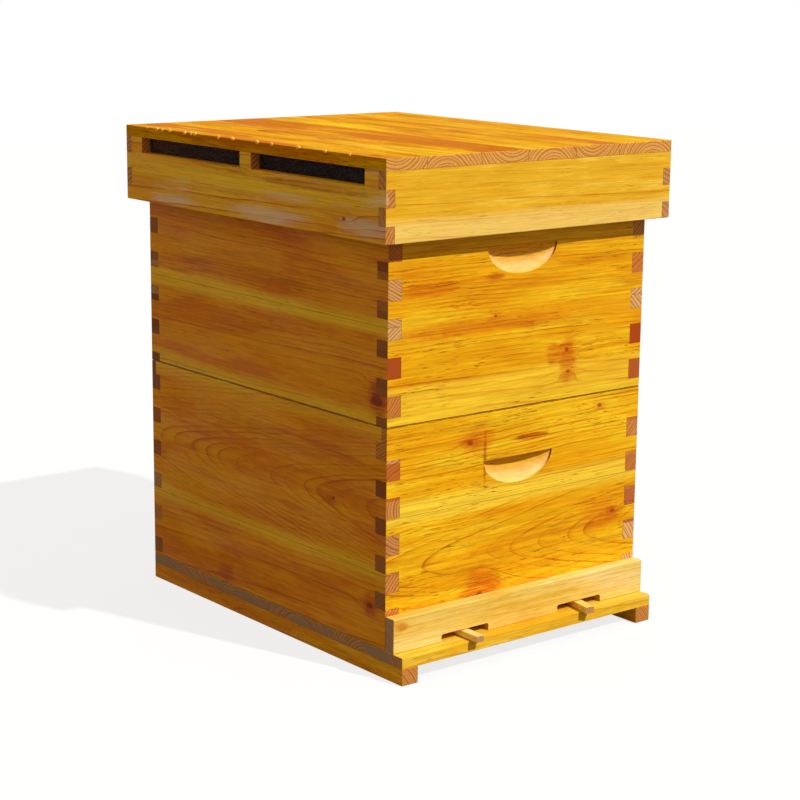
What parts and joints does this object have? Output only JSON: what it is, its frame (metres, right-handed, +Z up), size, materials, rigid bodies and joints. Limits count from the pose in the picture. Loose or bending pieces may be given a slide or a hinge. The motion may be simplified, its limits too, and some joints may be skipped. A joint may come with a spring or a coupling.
{
  "type": "framed beehive",
  "caption": "Stacked timber beehive with finger-jointed boxes of hanging frames, a landing board with swivel entrance closers and a vented telescoping lid.",
  "frame": {"origin": "on the ground, under the middle of the hive's bounding box", "axes": "+Z up, +X towards the right of someone facing the entrance, -Y out of the entrance"},
  "size_m": [0.455, 0.5792, 0.6217],
  "materials": {
    "box_cedar": "wax-dipped, satin, warm golden brown",
    "lid_cedar": "wax-dipped, satin",
    "floor_cedar": "wax-dipped, satin, grey at the end grain",
    "pale_wood": "plain, pale, lightly waxed",
    "frame_wood": "plain planed pine, with a wax foundation",
    "inner_wood": "wax-dipped, matte",
    "nail_steel": "plain bright steel",
    "wire": "galvanised wire cloth"
  },
  "bodies": {
    "stand": {"floor_plank_1": "floor_cedar", "floor_plank_2": "floor_cedar", "floor_plank_3": "floor_cedar", "floor_plank_4": "floor_cedar", "runner_left": "floor_cedar", "runner_right": "floor_cedar"},
    "entrance_bar": {"entrance_bar": "pale_wood", "swivel_nail_left": "nail_steel", "swivel_nail_right": "nail_steel"},
    "stick_left": {"stick_left": "pale_wood"},
    "stick_right": {"stick_right": "pale_wood"},
    "lower_box": {"lower_front_board": "box_cedar", "lower_back_board": "box_cedar", "lower_left_board": "box_cedar", "lower_right_board": "box_cedar"},
    "upper_box": {"upper_front_board": "box_cedar", "upper_back_board": "box_cedar", "upper_left_board": "box_cedar", "upper_right_board": "box_cedar"},
    "inner_cover": {"inner_cover_board": "inner_wood", "inner_cover_rim": "inner_wood"},
    "lid": {"lid_front_board": "lid_cedar", "lid_back_board": "lid_cedar", "lid_left_board": "lid_cedar", "lid_right_board": "lid_cedar", "lid_top": "lid_cedar", "lid_rail_front": "inner_wood", "lid_rail_back": "inner_wood", "vent_mesh_left": "wire", "vent_mesh_right": "wire"},
    "lower_frame_01": {"lower_frame_01": "frame_wood"},
    "lower_frame_02": {"lower_frame_02": "frame_wood"},
    "lower_frame_03": {"lower_frame_03": "frame_wood"},
    "lower_frame_04": {"lower_frame_04": "frame_wood"},
    "lower_frame_05": {"lower_frame_05": "frame_wood"},
    "lower_frame_06": {"lower_frame_06": "frame_wood"},
    "lower_frame_07": {"lower_frame_07": "frame_wood"},
    "lower_frame_08": {"lower_frame_08": "frame_wood"},
    "lower_frame_09": {"lower_frame_09": "frame_wood"},
    "lower_frame_10": {"lower_frame_10": "frame_wood"},
    "upper_frame_01": {"upper_frame_01": "frame_wood"},
    "upper_frame_02": {"upper_frame_02": "frame_wood"},
    "upper_frame_03": {"upper_frame_03": "frame_wood"},
    "upper_frame_04": {"upper_frame_04": "frame_wood"},
    "upper_frame_05": {"upper_frame_05": "frame_wood"},
    "upper_frame_06": {"upper_frame_06": "frame_wood"},
    "upper_frame_07": {"upper_frame_07": "frame_wood"},
    "upper_frame_08": {"upper_frame_08": "frame_wood"},
    "upper_frame_09": {"upper_frame_09": "frame_wood"},
    "upper_frame_10": {"upper_frame_10": "frame_wood"}
  },
  "joints": [
    {"name": "lower_box_lift", "type": "slide", "parent": "stand", "child": "lower_box", "axis": [0, 0, 1], "range_m": [0, 0.25]},
    {"name": "upper_box_lift", "type": "slide", "parent": "lower_box", "child": "upper_box", "axis": [0, 0, 1], "range_m": [0, 0.25]},
    {"name": "inner_cover_lift", "type": "slide", "parent": "upper_box", "child": "inner_cover", "axis": [0, 0, 1], "range_m": [0, 0.15]},
    {"name": "lid_lift", "type": "slide", "parent": "inner_cover", "child": "lid", "axis": [0, 0, 1], "range_m": [0, 0.2]},
    {"name": "entrance_bar_pull", "type": "slide", "parent": "stand", "child": "entrance_bar", "axis": [0, -1, 0], "range_m": [0, 0.06]},
    {"name": "stick_left_swivel", "type": "hinge", "parent": "entrance_bar", "child": "stick_left", "pos_m": [-0.095, -0.25266, 0.0353], "axis": [0, 0, 1], "range_deg": [-90, 90]},
    {"name": "stick_right_swivel", "type": "hinge", "parent": "entrance_bar", "child": "stick_right", "pos_m": [0.095, -0.25266, 0.0353], "axis": [0, 0, 1], "range_deg": [-79, 101]},
    {"name": "lower_frame_01_lift", "type": "slide", "parent": "lower_box", "child": "lower_frame_01", "axis": [0, 0, 1], "range_m": [0, 0.008]},
    {"name": "lower_frame_02_lift", "type": "slide", "parent": "lower_box", "child": "lower_frame_02", "axis": [0, 0, 1], "range_m": [0, 0.008]},
    {"name": "lower_frame_03_lift", "type": "slide", "parent": "lower_box", "child": "lower_frame_03", "axis": [0, 0, 1], "range_m": [0, 0.008]},
    {"name": "lower_frame_04_lift", "type": "slide", "parent": "lower_box", "child": "lower_frame_04", "axis": [0, 0, 1], "range_m": [0, 0.008]},
    {"name": "lower_frame_05_lift", "type": "slide", "parent": "lower_box", "child": "lower_frame_05", "axis": [0, 0, 1], "range_m": [0, 0.008]},
    {"name": "lower_frame_06_lift", "type": "slide", "parent": "lower_box", "child": "lower_frame_06", "axis": [0, 0, 1], "range_m": [0, 0.008]},
    {"name": "lower_frame_07_lift", "type": "slide", "parent": "lower_box", "child": "lower_frame_07", "axis": [0, 0, 1], "range_m": [0, 0.008]},
    {"name": "lower_frame_08_lift", "type": "slide", "parent": "lower_box", "child": "lower_frame_08", "axis": [0, 0, 1], "range_m": [0, 0.008]},
    {"name": "lower_frame_09_lift", "type": "slide", "parent": "lower_box", "child": "lower_frame_09", "axis": [0, 0, 1], "range_m": [0, 0.008]},
    {"name": "lower_frame_10_lift", "type": "slide", "parent": "lower_box", "child": "lower_frame_10", "axis": [0, 0, 1], "range_m": [0, 0.008]},
    {"name": "upper_frame_01_lift", "type": "slide", "parent": "upper_box", "child": "upper_frame_01", "axis": [0, 0, 1], "range_m": [0, 0.008]},
    {"name": "upper_frame_02_lift", "type": "slide", "parent": "upper_box", "child": "upper_frame_02", "axis": [0, 0, 1], "range_m": [0, 0.008]},
    {"name": "upper_frame_03_lift", "type": "slide", "parent": "upper_box", "child": "upper_frame_03", "axis": [0, 0, 1], "range_m": [0, 0.008]},
    {"name": "upper_frame_04_lift", "type": "slide", "parent": "upper_box", "child": "upper_frame_04", "axis": [0, 0, 1], "range_m": [0, 0.008]},
    {"name": "upper_frame_05_lift", "type": "slide", "parent": "upper_box", "child": "upper_frame_05", "axis": [0, 0, 1], "range_m": [0, 0.008]},
    {"name": "upper_frame_06_lift", "type": "slide", "parent": "upper_box", "child": "upper_frame_06", "axis": [0, 0, 1], "range_m": [0, 0.008]},
    {"name": "upper_frame_07_lift", "type": "slide", "parent": "upper_box", "child": "upper_frame_07", "axis": [0, 0, 1], "range_m": [0, 0.008]},
    {"name": "upper_frame_08_lift", "type": "slide", "parent": "upper_box", "child": "upper_frame_08", "axis": [0, 0, 1], "range_m": [0, 0.008]},
    {"name": "upper_frame_09_lift", "type": "slide", "parent": "upper_box", "child": "upper_frame_09", "axis": [0, 0, 1], "range_m": [0, 0.008]},
    {"name": "upper_frame_10_lift", "type": "slide", "parent": "upper_box", "child": "upper_frame_10", "axis": [0, 0, 1], "range_m": [0, 0.008]}
  ]
}
